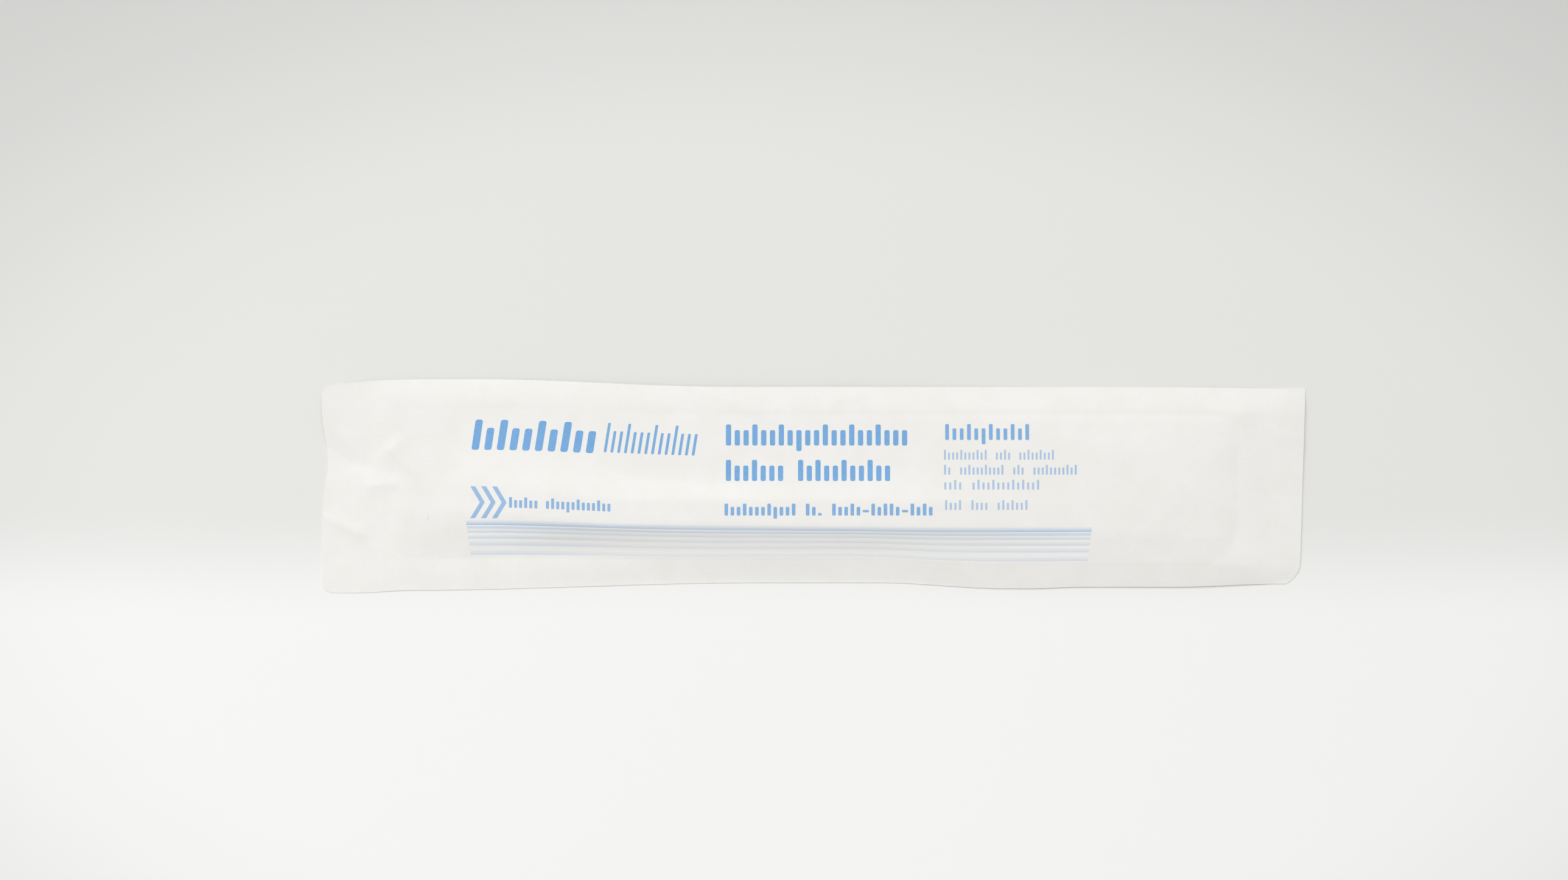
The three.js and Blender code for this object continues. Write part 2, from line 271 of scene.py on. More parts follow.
# how far the seals hang below their lines: droop x a power of the way to the edge for the long seals, where
# the lower one hangs by its line's height less the edge's lift, and droop x the way to the edge for the end
# seals; the two kinds join as the root of the sum of their squares
def sealDroop(along, across, low):
    lowerLine, upperLine = sealLines()
    fromEnd = along + halfLength
    pastUpper = pastLine(across - upperLine, seals["turn"]) / pouch["upperSeal"]
    pastLower = pastLine(-across - lowerLine, seals["turn"]) / pouch["lowerSeal"]
    upper = change(*seals["upperDroop"], fromEnd) * ramp(*seals["upperDroopBegins"], fromEnd)
    upper = upper * pastUpper ** change(*seals["upperBow"], fromEnd)
    lower = low - climb(seals["lowerEdgeLift"], fromEnd)
    lower = lower * pastLower ** change(*seals["lowerBow"], fromEnd)
    endSeal, endTurn = pouch["endSeal"], seals["endTurn"]
    left = seals["leftDroop"] * pastLine(endSeal - fromEnd, endTurn) / endSeal
    right = seals["rightDroop"] * pastLine(fromEnd - 2 * halfLength + endSeal, endTurn) / endSeal
    return np.hypot(upper + lower, left + right)


# height of the middle of the sealed paper: even from one seal line's height to the other's, less the droop,
# plus the curl of the upper left corner, a sine wave that grows to the upper edge and the creases; it eases
# onto the floor as half of (height + the root of (height squared + ease squared))
def sealPlane(along, across, x, y):
    lowerLine, upperLine = sealLines()
    fromEnd = along + halfLength
    low = seals["lowerHeight"] + climb(seals["lowerLift"], fromEnd)
    high = seals["upperHeight"] + climb(seals["upperLift"], fromEnd)
    level = low + (high - low) * np.clip((across + lowerLine) / (lowerLine + upperLine), 0, 1)
    curl, wave = seals["curl"], seals["wave"]
    curled = curl["height"] * np.clip(1 - fromEnd / curl["reach"], 0, 1) ** curl["bow"]
    curled = curled * ramp(*curl["across"], across)
    waved = np.sin(along / wave["perRadian"] + wave["shift"])
    waved = wave["height"] * np.maximum(across, 0) / halfWidth * waved
    above = level + waved + curled - sealDroop(along, across, low)
    above = above + creases(x, y, sealCreases) - pouch["webThickness"]
    return pouch["webThickness"] + (above + np.sqrt(above**2 + seals["floorEase"] ** 2)) / 2


# what lies in the pocket: a handle whose top swells and tapers, and a flat blade at its right end
lifter = {
    "handleTop": 4.5,
    "startTop": 1.95,
    "neckTop": 2.45,  # where the blade begins
    "handleStart": -98.5,
    "swollen": -58,  # where the handle has its full thickness
    "taper": 6,  # where it begins to lose it
    "handleEnd": 84.0,
    "handleY": -2.3,
    "handleDrift": [(-88, -45, -3.5), (-45, 84, -1.2)],
    "handleAbove": 2.3,
    "handleBelow": 2.9,
    "handleTurn": 1.0,
    "bladeMiddle": (93.5, -4.0),
    "bladeHalf": (9.5, 10.0),
}

# how the webs hang between the lifter and the seals
tent = {
    "crestRound": (3.0, 1.2, -75, -45),
    "upperSag": 1.7,  # 1 hangs straight, and more hangs hollow
    "upperSagSteps": [(-75, -45, 1.3), (-15, 50, -1.0)],
    "lowerSag": (1.2, 1.9, -88, -58),
    "crestBlend": 1.0,  # over which the sag changes at the handle's middle
    "archTop": 2.9,
    "archY": 5.0,
    "archEnd": 16.0,
    "archBegins": (-75, -40),
    "archEase": (0.5, 0.6),  # between its sides, and with its ends
    "joinPower": 4,
    "pocketEase": 6,
    "markEase": (-0.5, 3),  # inside the pocket, where the front web's own creases begin and are full
    "footHalf": 8.0,
    "backSag": 1.1,
    "backSink": 0.12,  # past the floor, which flattens the back web there
}

# the long crease where the front web buckles above the handle
buckle = {
    "left": -50.0,
    "right": -18.0,
    "y": 1.6,
    "slant": -0.055,
    "turn": -43.5,
    "bow": 0.06,
    "above": 4.2,
    "below": 2.8,
    "round": 0.5,
    "depth": 0.42,
    "fade": 5.0,
}


# depth x a crease's fall-off from a line that is straight, and left of its turn rises by bow x the distance
# from it squared
def buckleDepth(x, y):
    bow = buckle["bow"] * np.maximum(buckle["turn"] - x, 0) ** 2
    aside = y - buckle["y"] - (buckle["slant"] * (x - buckle["turn"]) + bow)
    reach = np.where(aside > 0, buckle["above"], buckle["below"])
    past = np.maximum(np.maximum(buckle["left"] - x, x - buckle["right"]), 0)
    return buckle["depth"] * np.exp(-rounded(aside, buckle["round"]) / reach) * bell(past, buckle["fade"])


# distance inside the pocket: the smaller of the two distances inside its lines, eased, and 0 in the seals
def insidePocket(along, across):
    return np.maximum(softMin(*insideLines(along, across), tent["pocketEase"]), 0)


# y of the handle's middle: its start plus its drift in steps
def handleLine(x):
    return lifter["handleY"] + climb(lifter["handleDrift"], x)


# distance past either end of the handle
def pastHandle(x):
    return np.maximum(np.maximum(lifter["handleStart"] - x, x - lifter["handleEnd"]), 0)


# distance from the flat-topped handle: the root of (past its end squared + beside it squared), rounded
def toHandle(x, y):
    aside = y - handleLine(x)
    aside = np.maximum(aside - lifter["handleAbove"], -lifter["handleBelow"] - aside)
    aside = pastLine(aside, lifter["handleTurn"])
    return rounded(np.hypot(pastHandle(x), aside), change(*tent["crestRound"], x))


# distance from the blade's rectangle: the root of (past its end squared + beside it squared)
def toBlade(x, y):
    past = np.maximum(np.abs(x - lifter["bladeMiddle"][0]) - lifter["bladeHalf"][0], 0)
    aside = np.maximum(np.abs(y - lifter["bladeMiddle"][1]) - lifter["bladeHalf"][1], 0)
    return np.hypot(past, aside)


# share of the way from the seal to the lifter: (inside / (inside + clear)) to the power sag
def hang(inside, clear, sag):
    tiny = 1e-6  # keeps the divisor above 0
    return np.where(inside > 0, inside / np.maximum(inside + clear, tiny), 0) ** sag


# height of the handle's top: a change from its start to full, then a part of the way to the neck's height
def handleTop(x):
    top = change(lifter["startTop"], lifter["handleTop"], lifter["handleStart"], lifter["swollen"], x)
    return top + (lifter["neckTop"] - top) * ramp(lifter["taper"], lifter["handleEnd"], x)


# the power by which the front web hangs from the handle: one below its middle, another above, and a smooth
# step between
def handleSag(x, y):
    above = tent["upperSag"] + climb(tent["upperSagSteps"], x)
    below = change(*tent["lowerSag"], x)
    blend = tent["crestBlend"]
    return below + ramp(-blend, blend, y - handleLine(x)) * (above - below)


# the low arch over the blade: t (2 - t), where t goes from 0 at the seals to 1 at the arch's ridge
def archShare(along, across):
    lowerLine, upperLine = sealLines()
    ridge = tent["archY"]
    sidesEase, endsEase = tent["archEase"]
    upward = (upperLine - across) / (upperLine - ridge)
    downward = (across + lowerLine) / (lowerLine + ridge)
    fromEnds = insideLines(along, across)[1] / tent["archEnd"]
    t = np.clip(softMin(softMin(upward, downward, sidesEase), fromEnds, endsEase), 0, 1)
    return t * (2 - t)


# how far the lifter holds the front web up: the handle's tent and the arch, joined as a root of the sum of
# their powers, plus the front web's own creases, which fade at the seals
def frontRise(along, across, x, y, flat):
    inside = insidePocket(along, across)
    overHandle = np.maximum(handleTop(x) - flat, 0) * hang(inside, toHandle(x, y), handleSag(x, y))
    arch = archShare(along, across) * ramp(*tent["archBegins"], x)
    overBlade = np.maximum(tent["archTop"] - flat, 0) * arch
    power = tent["joinPower"]
    rise = (overHandle**power + overBlade**power) ** (1 / power)
    marks = creases(x, y, bladeCreases) - buckleDepth(x, y)
    return rise + marks * ramp(*tent["markEase"], inside)


# cockling of the paper, coarse to fine: height, size, turn and stretch of each layer
cockling = {
    "seed": 5,
    "layers": [(0.05, 11, 0.5, 1.7), (0.026, 4.6, 0.8, 1.9), (0.011, 2.4, 0.9, 1.7)],
    "strength": (0.6, 1.0, 40, 90),  # growing from the middle to both ends
}


# the sum of each layer's height x its ripple, times the strength
def cockle(x, y):
    heights = 0
    for order, (height, *form) in enumerate(cockling["layers"]):
        heights = heights + height * ripple(x, y, cockling["seed"] + order, *form)
    return heights * change(*cockling["strength"], np.abs(x))


# the line pressed where the webs part along the upper seal: a shallow groove that deepens towards the blade
groove = {"depth": (0.04, 0.12, 90, 190), "inside": 0.4, "reach": 1.0, "ends": (-1, 6)}


# depth x bell of the distance from the groove x a smooth step inside both ends of the pocket
def sealGroove(along, across):
    fromLine = sealLines()[1] - across
    depth = change(*groove["depth"], along + halfLength)
    fromEnds = insideLines(along, across)[1]
    return depth * bell(fromLine - groove["inside"], groove["reach"]) * ramp(*groove["ends"], fromEnds)


# outer face of the front web: the sealed paper's height, plus the rise over the lifter and the cockling,
# less the groove
def frontHeight(along, across):
    x, y = place(along, across)
    flat = sealPlane(along, across, x, y) + pouch["webThickness"]
    return flat + frontRise(along, across, x, y, flat) + cockle(x, y) - sealGroove(along, across)


# outer face of the back web: the sealed paper's height, less a drop that hangs it to the floor under the
# lifter, plus the cockling, and never below the floor
def backHeight(along, across):
    x, y = place(along, across)
    flat = sealPlane(along, across, x, y) - pouch["webThickness"]
    aside = np.maximum(np.abs(y - handleLine(x)) - tent["footHalf"], 0)
    toFoot = np.minimum(np.hypot(pastHandle(x), aside), toBlade(x, y))
    drop = (flat + tent["backSink"]) * hang(insidePocket(along, across), toFoot, tent["backSag"])
    return np.maximum(flat - drop + cockle(x, y), 0)


# quads between the rows of a grid of numbered points, turned over for a face that looks down
def gridQuads(numbers, down=False):
    a, b = numbers[:-1, :-1], numbers[1:, :-1]
    c, d = numbers[1:, 1:], numbers[:-1, 1:]
    corners = (a, d, c, b) if down else (a, b, c, d)
    return np.stack([corner.ravel() for corner in corners], axis=1)


# quads round the rim between two grids of the same shape
def rimQuads(top, bottom):
    loops = []
    for numbers in (top, bottom):
        sides = (numbers[:-1, 0], numbers[-1, :-1], numbers[:0:-1, -1], numbers[0, :0:-1])
        loops.append(np.concatenate(sides))
    upper, lower = loops
    return np.stack([lower, np.roll(lower, -1), np.roll(upper, -1), upper], axis=1)


# a mesh; its last few faces, four-sided ones such as a rim's, can be left flat with all their edges sharp,
# so that borders stay crisp
def addMesh(name, points, faces, flatFaces=0):
    mesh = bpy.data.meshes.new(name)
    mesh.from_pydata((np.asarray(points) * mm).tolist(), [], faces)
    smooth = np.arange(len(mesh.polygons)) < len(mesh.polygons) - flatFaces
    mesh.polygons.foreach_set("use_smooth", smooth)
    sides = np.zeros(len(mesh.loops), dtype=int)
    mesh.loops.foreach_get("edge_index", sides)
    sharp = np.zeros(len(mesh.edges), dtype=bool)
    sharp[sides[len(sides) - 4 * flatFaces:]] = True
    mesh.edges.foreach_set("use_edge_sharp", sharp)
    mesh.update()
    piece = bpy.data.objects.new(name, mesh)
    bpy.context.scene.collection.objects.link(piece)
    return piece


# a closed sheet between two height fields over the same places: its points, faces and count of rim faces
def sheet(x, y, top, bottom):
    points = np.concatenate([np.stack([x, y, z], axis=-1).reshape(-1, 3) for z in (top, bottom)])
    upper = np.arange(x.size).reshape(x.shape)
    lower = upper + x.size
    rim = rimQuads(upper, lower)
    quads = np.concatenate([gridQuads(upper), gridQuads(lower, down=True), rim])
    return points, quads, len(rim)


# stations from edge to edge: even in the seals, and in the pocket even x t + closing x the sine of
# t x 90 degrees, where t runs from -1 to 1
def stations(half, sealWidths, sealCells, pocketCells):
    low, high = sealWidths[0] - half, half - sealWidths[1]
    even, closing = pouch["spacing"]
    t = np.linspace(-1, 1, pocketCells + 1)
    pocket = (low + high) / 2 + (even * t + closing * np.sin(t * np.pi / 2)) * (high - low) / 2
    below, above = np.linspace(-half, low, sealCells + 1), np.linspace(high, half, sealCells + 1)
    return np.concatenate([below[:-1], pocket, above[1:]])


# the grid of the flat paper, with the given share of the full count of cells
def flatGrid(share):
    counts = [round(count * share) for count in (*pouch["sealCells"], *pouch["pocketCells"])]
    along = stations(halfLength, (pouch["endSeal"], pouch["endSeal"]), counts[0], counts[2])
    across = stations(halfWidth, (pouch["lowerSeal"], pouch["upperSeal"]), counts[1], counts[3])
    return np.meshgrid(along, across, indexing="ij")


# each noise is its scale, detail and roughness, and may end with its stretch along x, y and z
paperLook = {
    "colour": (0.876, 0.868, 0.838),
    "shade": (0.846, 0.836, 0.800),
    "cloud": (130, 5, 0.62),
    "roughness": (0.72, 0.9),
    "gloss": 0.3,
}
grain = {
    "tooth": (2600, 3, 0.6),
    "fibres": (900, 4, 0.65, (0.45, 1.6, 1)),
    "fibreShare": 0.6,
    "strength": 0.7,
    "metresDeep": 0.00006,
}

# looks of the print: each ink's own, and the film and the sheen that they share
inkLook = {"colour": (0.135, 0.362, 0.688), "roughness": (0.5, 0.68)}
stripeLook = {"colour": (0.19, 0.41, 0.71), "roughness": (0.5, 0.68)}
fleckLook = {"colour": (0.44, 0.33, 0.20), "roughness": (0.7, 0.85)}
inkFilm = {"broken": (1500, 4, 0.7), "cover": (0.9, 1.0), "gloss": 0.35}
sheenNoise = (700, 3, 0.6)


def newMaterial(name):
    material = bpy.data.materials.new(name)
    material.use_nodes = True
    tree = material.node_tree
    return material, tree, tree.nodes["Principled BSDF"]


def addNoise(tree, scale, detail, roughness, stretch=(1, 1, 1)):
    spot = tree.nodes.new("ShaderNodeTexCoord")
    mapping = tree.nodes.new("ShaderNodeMapping")
    mapping.inputs["Scale"].default_value = stretch
    noise = tree.nodes.new("ShaderNodeTexNoise")
    noise.inputs["Scale"].default_value = scale
    noise.inputs["Detail"].default_value = detail
    noise.inputs["Roughness"].default_value = roughness
    tree.links.new(spot.outputs["Object"], mapping.inputs["Vector"])
    tree.links.new(mapping.outputs["Vector"], noise.inputs["Vector"])
    return noise.outputs["Fac"]


# first and second are each a colour or a socket
def addMix(tree, factor, first, second, blend="MIX"):
    mix = tree.nodes.new("ShaderNodeMix")
    mix.data_type = "RGBA"
    mix.blend_type = blend
    tree.links.new(factor, mix.inputs["Factor"])
    for socket, value in ((mix.inputs["A"], first), (mix.inputs["B"], second)):
        if isinstance(value, tuple):
            socket.default_value = (*value, 1)
        else:
            tree.links.new(value, socket)
    return mix.outputs["Result"]


# the default range is the middle of a noise, where most of its values lie
def addRange(tree, value, low, high, fromLow=0.3, fromHigh=0.7, kind="LINEAR"):
    spread = tree.nodes.new("ShaderNodeMapRange")
    spread.interpolation_type = kind
    spread.inputs["From Min"].default_value = fromLow
    spread.inputs["From Max"].default_value = fromHigh
    spread.inputs["To Min"].default_value = low
    spread.inputs["To Max"].default_value = high
    tree.links.new(value, spread.inputs["Value"])
    return spread.outputs["Result"]


def addMath(tree, operation, first, second):
    node = tree.nodes.new("ShaderNodeMath")
    node.operation = operation
    tree.links.new(first, node.inputs[0])
    tree.links.new(second, node.inputs[1])
    return node.outputs["Value"]


# the paper's grain: short fibres crossing a fine tooth, as bump of a few hundredths of a millimetre
def addGrain(tree, shader):
    together = tree.nodes.new("ShaderNodeMath")
    together.operation = "MULTIPLY_ADD"
    together.inputs[1].default_value = grain["fibreShare"]
    tree.links.new(addNoise(tree, *grain["fibres"]), together.inputs[0])
    tree.links.new(addNoise(tree, *grain["tooth"]), together.inputs[2])
    bump = tree.nodes.new("ShaderNodeBump")
    bump.inputs["Strength"].default_value = grain["strength"]
    bump.inputs["Distance"].default_value = grain["metresDeep"]
    tree.links.new(together.outputs["Value"], bump.inputs["Height"])
    tree.links.new(bump.outputs["Normal"], shader.inputs["Normal"])


# roughness that wanders within its range, a gloss and the grain
def addSheen(tree, shader, roughness, gloss):
    sheen = addRange(tree, addNoise(tree, *sheenNoise), *roughness)
    tree.links.new(sheen, shader.inputs["Roughness"])
    shader.inputs["Specular IOR Level"].default_value = gloss
    addGrain(tree, shader)


# coated paper: warm white, clouded a little where the fibres lie thicker
def paperMaterial():
    material, tree, shader = newMaterial("pouch_paper")
    cloud = addRange(tree, addNoise(tree, *paperLook["cloud"]), 0, 1)
    colour = addMix(tree, cloud, paperLook["shade"], paperLook["colour"])
    tree.links.new(colour, shader.inputs["Base Color"])
    addSheen(tree, shader, paperLook["roughness"], paperLook["gloss"])
    return material


# ink over that paper: each shape's tint says how much ink it carries, and the ink breaks up on the fibres
def inkMaterial(name, look):
    material, tree, shader = newMaterial(name)
    tint = tree.nodes.new("ShaderNodeAttribute")
    tint.attribute_name = "tint"
    cover = addRange(tree, addNoise(tree, *inkFilm["broken"]), *inkFilm["cover"])
    amount = addMath(tree, "MULTIPLY", tint.outputs["Fac"], cover)
    colour = addMix(tree, amount, paperLook["colour"], look["colour"])
    tree.links.new(colour, shader.inputs["Base Color"])
    addSheen(tree, shader, look["roughness"], inkFilm["gloss"])
    return material


def finish(piece, material):
    piece.data.materials.append(material)
    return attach(piece, "root")


# each web's share of the grid's full count of cells, and how far it keeps from the middle between the two
webs = {"front_web": {"cells": 1.0, "gap": 0.012}, "back_web": {"cells": 0.7, "gap": -0.012}}


# each web is one thickness deep, and thinner where their outer faces come nearer than two
def makeWebs():
    paper = paperMaterial()
    thickness = pouch["webThickness"]
    for name, web in webs.items():
        along, across = flatGrid(web["cells"])
        x, y = place(along, across)
        front, back = frontHeight(along, across), backHeight(along, across)
        middle = (front + back) / 2 + web["gap"]
        if name == "front_web":
            points, quads, rim = sheet(x, y, front, np.maximum(front - thickness, middle))
        else:
            points, quads, rim = sheet(x, y, np.minimum(back + thickness, middle), back)
        piece = finish(addMesh(name, points, quads.tolist(), rim), paper)
        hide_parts("sealed_pouch")


# the print is thin plates on the front web, most of them bars
printing = {
    "lift": 0.025,
    "sink": 0.02,
    "roundShare": 0.3,  # a bar's corner radius, as a share of its shorter side
    "rowStep": 0.8,  # longest step of a bar's rows between its round ends
    "columns": 4,
    "cornerRows": 4,
    "wordGap": 2.2,  # in stem widths
    "lean": math.radians(9),
}


# a thin closed plate over a grid of flat places, laid on the front web
def decal(along, across):
    x, y = place(along, across)
    height = frontHeight(along, across)
    return sheet(x, y, height + printing["lift"], height - printing["sink"])


# one mesh from many plates, with each plate's tint kept on its points; rims come last and stay flat
def addPrint(name, plates, material):
    points, faces, rims, tints, start = [], [], [], [], 0
    for (platePoints, quads, rim), tint in plates:
        points.append(platePoints)
        faces.append(quads[:-rim] + start)
        rims.append(quads[-rim:] + start)
        tints.append(np.broadcast_to(tint, len(platePoints)))
        start += len(platePoints)
    rims = np.concatenate(rims)
    quads = np.concatenate([*faces, rims])
    piece = addMesh(name, np.concatenate(points), quads.tolist(), len(rims))
    layer = piece.data.attributes.new("tint", "FLOAT", "POINT")
    layer.data.foreach_set("value", np.concatenate(tints).astype(np.float32))
    return finish(piece, material)


# a bar with round corners, leaning by slant: each row's half width is the bar's, less what the corner
# radius takes off near the two ends
def bar(left, base, width, height, slant):
    radius = printing["roundShare"] * min(width, height)
    bend = radius * (1 - np.cos(np.linspace(0, np.pi / 2, printing["cornerRows"])))
    bodyRows = max(2, math.ceil((height - 2 * radius) / printing["rowStep"]) + 1)
    body = np.linspace(radius, height - radius, bodyRows)
    rows = np.concatenate([bend[:-1], body, height - bend[-2::-1]])
    half = width / 2 - cornerCut(np.minimum(rows, height - rows), radius)
    side = np.linspace(-1, 1, printing["columns"])[:, None]
    along = left + width / 2 + side * half + rows * math.tan(slant)
    return decal(along, base + rows + 0 * side)


# kinds of bar: width in stem widths, foot and head in parts of the line's height
barKinds = {
    "T": (1.0, 0.0, 1.0),
    "t": (1.0, 0.0, 0.73),
    "L": (0.55, 0.0, 1.0),
    "l": (0.55, 0.0, 0.73),
    "j": (1.0, -0.26, 0.73),
    "-": (1.7, 0.27, 0.47),
    ".": (1.0, 0.0, 0.22),
}


# a row of bars from left to right: a bar for each mark and a gap after each, and a word gap for each space
def barRow(rhythm, left, right, base, height, gap, slant, tint):
    spread = [printing["wordGap"] if mark == " " else barKinds[mark][0] + gap for mark in rhythm]
    widths = np.array(spread)
    unit = (right - left) / (widths.sum() - gap)
    starts = left + np.concatenate([[0], np.cumsum(widths)[:-1]]) * unit
    plates = []
    for mark, start in zip(rhythm, starts):
        if mark != " ":
            width, foot, head = barKinds[mark]
            plate = bar(start, base + foot * height, width * unit, (head - foot) * height, slant)
            plates.append((plate, tint))
    return plates


# rows of bars: rhythm, left, right, foot, height, gap, slant and tint
printRows = {
    "heading_print": [
        ("TtTttTtTtt", -83.9, -54.0, 8.9, 7.4, 0.7, printing["lean"], 1.0),
        ("LllLlllLllLlll", -51.4, -29.2, 9.3, 7.2, 0.8, printing["lean"], 0.97),
    ],
    "line_print": [
        ("TttTtt tTttjtTtttTtt", -74.4, -49.6, -5.1, 2.6, 0.7, 0.0, 0.86),
    ],
    "name_print": [
        ("TttTttTtjttTttTttTttt", -21.5, 22.8, 11.85, 5.15, 0.68, 0.0, 1.0),
        ("TttTttt TtTttTttTtt", -21.5, 18.6, 3.2, 5.15, 0.68, 0.0, 1.0),
        ("TttTtttTjttT Tt. TttTt-TtTTt-TtTt", -21.8, 28.9, -5.2, 2.9, 0.7, 0.0, 0.92),
    ],
    "notice_print": [
        ("TttTtjTttTtT", 32.1, 52.6, 13.2, 3.9, 0.95, 0.0, 0.95),
        ("LlllLlllLlL llLl llLllLllL", 31.8, 58.6, 8.4, 2.4, 0.7, 0.0, 0.68),
        ("Ll llLlllLlllL lLl lllLllllLlL", 31.8, 64.2, 4.75, 2.4, 0.62, 0.0, 0.68),
        ("llLl lLllLlllLlLllL", 31.8, 55.0, 1.1, 2.4, 0.75, 0.0, 0.66),
        ("LllL Llll lLlLllL", 32.0, 52.1, -3.85, 2.4, 0.75, 0.0, 0.66),
    ],
}

# stripes, closest and darkest at the top: middle, thickness, tint at the upper and at the lower border, how
# late in its width a stripe darkens (1 is evenly), and how much of its ink it keeps where it has faded
stripes = {
    "ends": (-85.0, 67.9),
    "lean": 0.11,  # how far a lower stripe draws its ends in, for its distance below the first
    "tilt": math.radians(0.1),
    "lines": [
        (-8.79, 1.45, 0.04, 0.74, 1.5, 0.8),
        (-10.1, 0.62, 0.3, 0.42, 1.0, 0.9),
        (-11.05, 0.8, 0.14, 0.36, 1.0, 0.7),
        (-12.45, 1.0, 0.05, 0.36, 1.0, 0.6),
        (-14.15, 1.2, 0.05, 0.32, 1.0, 0.58),
        (-16.5, 1.3, 0.06, 0.31, 1.0, 0.58),
    ],
    "fading": (-72, -42),
    "returning": (20, 60),
    "bow": {"x": -25, "reach": 25, "rise": 0.42, "lowest": -14.5, "over": 5.7},
    "cells": (420, 4),
}


# a long thin strip cut in cells that follow the web: tilted, and bowed up in its middle by rise x bell x
# how near the strip is to the top of the stripes
def strip(left, right, middle, thickness):
    cells, rows = stripes["cells"]
    bow = stripes["bow"]
    share = np.linspace(-0.5, 0.5, rows + 1)
    along = np.linspace(left, right, cells + 1)[:, None] + 0 * share
    near = np.clip((middle - bow["lowest"]) / bow["over"], 0, 1)
    across = middle + (along - left) * math.tan(stripes["tilt"])
    across = across + bow["rise"] * near * bell(along - bow["x"], bow["reach"])
    return decal(along, across + thickness * share)


# tint across a stripe: upper + (lower - upper) x (share of the way down) to the power late, times 1 less
# (1 - kept) between the places where the ink fades and returns
def makeStripes():
    left, right = stripes["ends"]
    cells, rows = stripes["cells"]
    first = stripes["lines"][0][0]
    down = np.linspace(1, 0, rows + 1)
    plates = []
    for middle, thickness, upper, lower, late, kept in stripes["lines"]:
        shift = (first - middle) * stripes["lean"]
        plate = strip(left + shift, right - shift, middle, thickness)
        shades = np.tile(upper + (lower - upper) * down**late, 2 * (cells + 1))  # for both faces
        x = plate[0][:, 0]
        faded = ramp(*stripes["fading"], x) - ramp(*stripes["returning"], x)
        plates.append((plate, shades * (1 - (1 - kept) * faded)))
    addPrint("stripes", plates, inkMaterial("stripe_ink", stripeLook))


# the opening mark: chevrons that point along the pouch
chevrons = {
    "left": -84.0,
    "step": 2.7,
    "count": 3,
    "middle": -3.9,
    "half": 3.9,
    "stroke": 1.2,
    "reach": 2.4,
    "tint": 0.78,
    "points": (4, 7),
}


# one arm of a chevron: a strip that leans by reach x the share of the way back from its end to its point
def chevronArm(left, side):
    columns, rows = chevrons["points"]
    share = np.linspace(0, 1, rows)
    share = share if side > 0 else share[::-1]
    stroke = chevrons["stroke"] * np.linspace(0, 1, columns)[:, None]
    along = left + chevrons["reach"] * (1 - share) + stroke
    across = chevrons["middle"] + side * chevrons["half"] * share + 0 * along
    return decal(along, across)


def makePrint():
    ink = inkMaterial("print_ink", inkLook)
    for name, rows in printRows.items():
        addPrint(name, [plate for row in rows for plate in barRow(*row)], ink)
    lefts = [chevrons["left"] + chevrons["step"] * k for k in range(chevrons["count"])]
    arms = [(chevronArm(left, side), chevrons["tint"]) for left in lefts for side in (1, -1)]
    addPrint("opening_mark", arms, ink)
    makeStripes()


# a plant fibre that was caught in the paper
fleck = {"left": -94.9, "foot": -8.5, "width": 0.5, "height": 1.6, "slant": math.radians(16), "tint": 0.12}


def makeFleck():
    fibre = bar(fleck["left"], fleck["foot"], fleck["width"], fleck["height"], fleck["slant"])
    piece = addPrint("paper_fleck", [(fibre, fleck["tint"])], inkMaterial("fleck_brown", fleckLook))


# a wide disc with painted light on it: a painted fall-off of light makes it paler towards the viewer and a
# little darker towards the far side, and painted shade makes it a little darker beyond an oval of painted
# light round the pouch; the oval's own turn is in shares of its reach, and the other places in the colours
# are in metres
ground = {
    # far is the darker colour of a painted fall-off of light, near the paler one
    "far": (0.792, 0.792, 0.772),
    "near": (0.915, 0.915, 0.9),
    "turn": (-0.004, -0.034),
    # painted light: an oval round the pouch, with painted shade that darkens the floor beyond it
    "paintedLightPool": {"reach": (0.22, 0.125), "middle": -0.02, "turn": (0.75, 1.5), "shade": 0.8},
    "radius": 4000,
    "sides": 96,
    "roughness": 0.95,
}


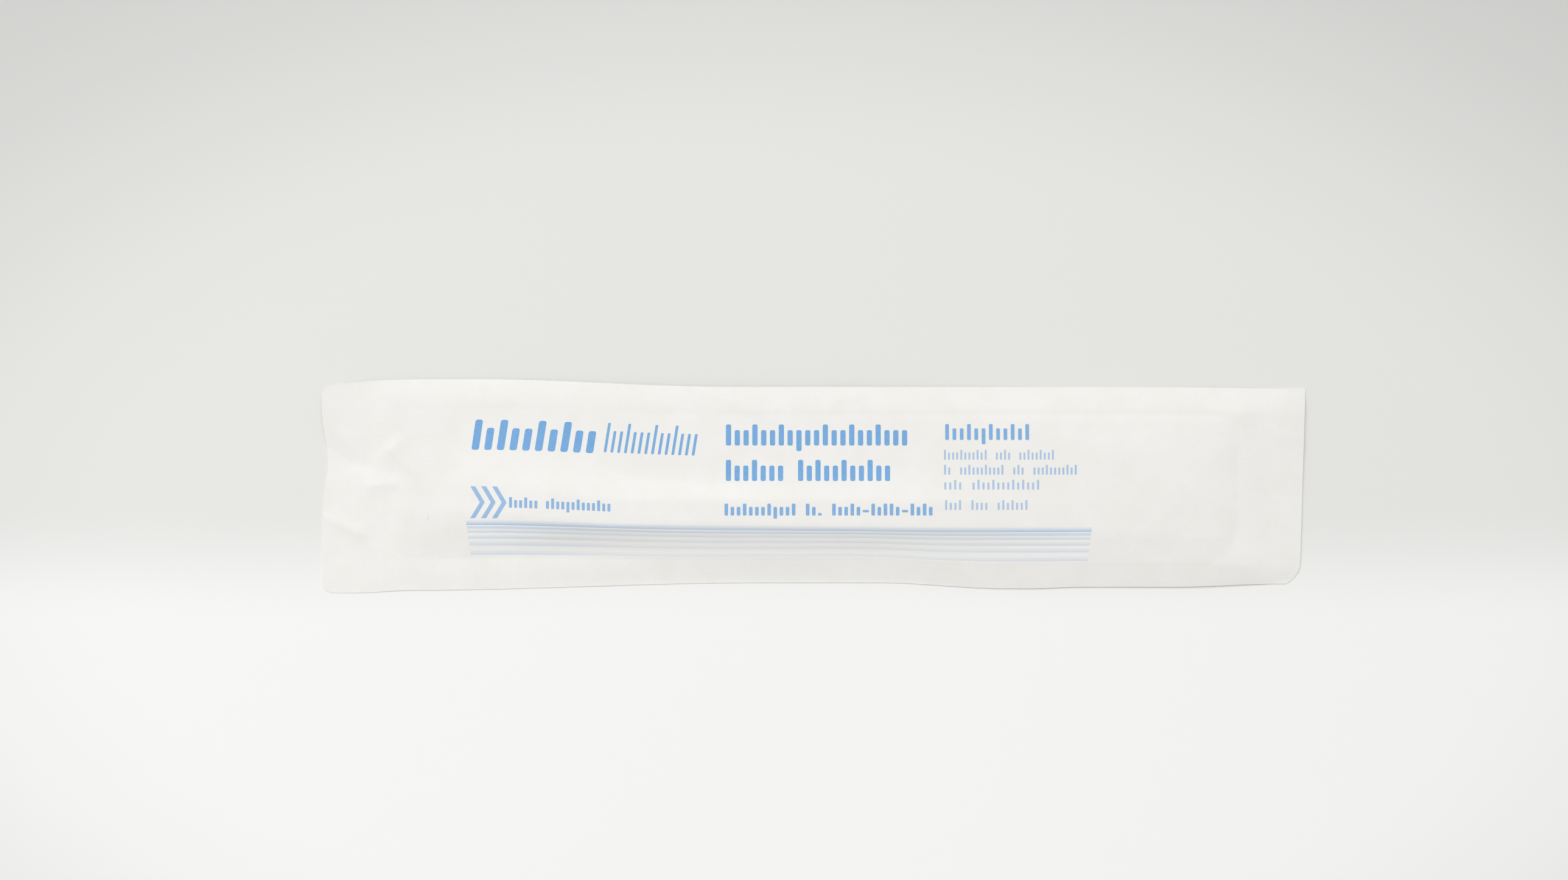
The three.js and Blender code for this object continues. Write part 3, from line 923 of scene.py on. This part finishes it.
def makeFloor():
    turn = np.linspace(0, 2 * np.pi, ground["sides"], endpoint=False)
    rim = np.stack([np.cos(turn), np.sin(turn), np.zeros(ground["sides"])], axis=1) * ground["radius"]
    floor = addMesh("floor", rim, [list(range(ground["sides"]))])
    material, tree, shader = newMaterial("floor")
    spot = tree.nodes.new("ShaderNodeTexCoord")
    parts = tree.nodes.new("ShaderNodeSeparateXYZ")
    tree.links.new(spot.outputs["Object"], parts.inputs["Vector"])
    paintedLightPool = ground["paintedLightPool"]
    oval = tree.nodes.new("ShaderNodeMapping")
    oval.inputs["Scale"].default_value = (1 / paintedLightPool["reach"][0], 1 / paintedLightPool["reach"][1], 0)
    oval.inputs["Location"].default_value = (0, -paintedLightPool["middle"] / paintedLightPool["reach"][1], 0)
    tree.links.new(spot.outputs["Object"], oval.inputs["Vector"])
    away = tree.nodes.new("ShaderNodeVectorMath")
    away.operation = "LENGTH"
    tree.links.new(oval.outputs["Vector"], away.inputs[0])
    # painted shade: the floor's colour darker beyond the oval of painted light
    paintedShadeOutside = addRange(tree, away.outputs["Value"], 0, 1, *paintedLightPool["turn"], "SMOOTHSTEP")
    # painted fall-off of light: the floor darker towards the far side and paler towards the viewer
    near = addRange(tree, parts.outputs["Y"], 0, 1, *ground["turn"], "SMOOTHSTEP")
    paintedLightTone = addMix(tree, near, ground["far"], ground["near"])
    paintedLightTone = addMix(tree, paintedShadeOutside, paintedLightTone, (paintedLightPool["shade"],) * 3, "MULTIPLY")
    tree.links.new(paintedLightTone, shader.inputs["Base Color"])
    shader.inputs["Roughness"].default_value = ground["roughness"]
    shader.inputs["Specular IOR Level"].default_value = 0.0
    floor.data.materials.append(material)
    floor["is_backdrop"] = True


# a white dome, a broad key from behind the upper edge and a weak fill from the left; places are in metres
studio = {
    "backdrop": (0.80, 0.80, 0.775),
    "sky": 0.413,
    "keyPower": 1.62,
    "keyFrom": (-0.08, 0.58, 1.0),
    "keyAngle": 55,
    "fillPower": 0.476,
    "fillPlace": (-0.62, 0.12, 0.72),
    "fillSize": 0.6,
    "fillSpread": 85,
}


# the dome lights the pouch, and what the camera or a glossy or clear surface sees behind is the backdrop
def makeWorld():
    world = bpy.data.worlds.new("studio")
    bpy.context.scene.world = world
    world.use_nodes = True
    tree = world.node_tree
    dome = tree.nodes["Background"]
    dome.inputs["Color"].default_value = (1, 1, 1, 1)
    dome.inputs["Strength"].default_value = studio["sky"]
    seen = tree.nodes.new("ShaderNodeBackground")
    seen.inputs["Color"].default_value = (*studio["backdrop"], 1)
    path = tree.nodes.new("ShaderNodeLightPath")
    sight = path.outputs["Is Camera Ray"]
    for ray in ("Is Glossy Ray", "Is Transmission Ray"):
        sight = addMath(tree, "MAXIMUM", sight, path.outputs[ray])
    choose = tree.nodes.new("ShaderNodeMixShader")
    tree.links.new(sight, choose.inputs["Fac"])
    tree.links.new(dome.outputs["Background"], choose.inputs[1])
    tree.links.new(seen.outputs["Background"], choose.inputs[2])
    tree.links.new(choose.outputs["Shader"], tree.nodes["World Output"].inputs["Surface"])


# a lamp that faces the origin
def addLamp(name, kind, power, place):
    light = bpy.data.lights.new(name, kind)
    light.energy = power
    lamp = bpy.data.objects.new(name, light)
    lamp.location = place
    lamp.rotation_mode = "QUATERNION"
    lamp.rotation_quaternion = lamp.location.to_track_quat("Z", "Y")
    lamp.visible_camera = False
    bpy.context.scene.collection.objects.link(lamp)
    return light


def makeLamps():
    key = addLamp("key", "SUN", studio["keyPower"], studio["keyFrom"])
    key.angle = math.radians(studio["keyAngle"])
    fill = addLamp("fill", "AREA", studio["fillPower"], studio["fillPlace"])
    fill.size = studio["fillSize"]
    fill.spread = math.radians(studio["fillSpread"])


# the camera looks straight down at a point of the pouch, from where frameWidth of it fills the picture
shot = {"lens": 60.0, "sensor": 36.0, "frameWidth": 383.2, "centre": (-7.3, 11.3), "height": 2.5}


def makeCamera():
    camera = bpy.data.cameras.new("camera")
    camera.lens = shot["lens"]
    camera.sensor_width = shot["sensor"]
    seat = bpy.data.objects.new("camera", camera)
    away = shot["frameWidth"] * shot["lens"] / shot["sensor"]
    seat.location = (shot["centre"][0] * mm, shot["centre"][1] * mm, (away + shot["height"]) * mm)
    bpy.context.scene.collection.objects.link(seat)
    bpy.context.scene.camera = seat


makeWebs()
print("webs made")
makePrint()
makeFleck()
print("print made")
makeFloor()
makeWorld()
makeLamps()
makeCamera()
bpy.context.scene.view_settings.view_transform = "Standard"
print("scene lit")

visualBox = [list(corner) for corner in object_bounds()]
print("boxes written", visualBox)
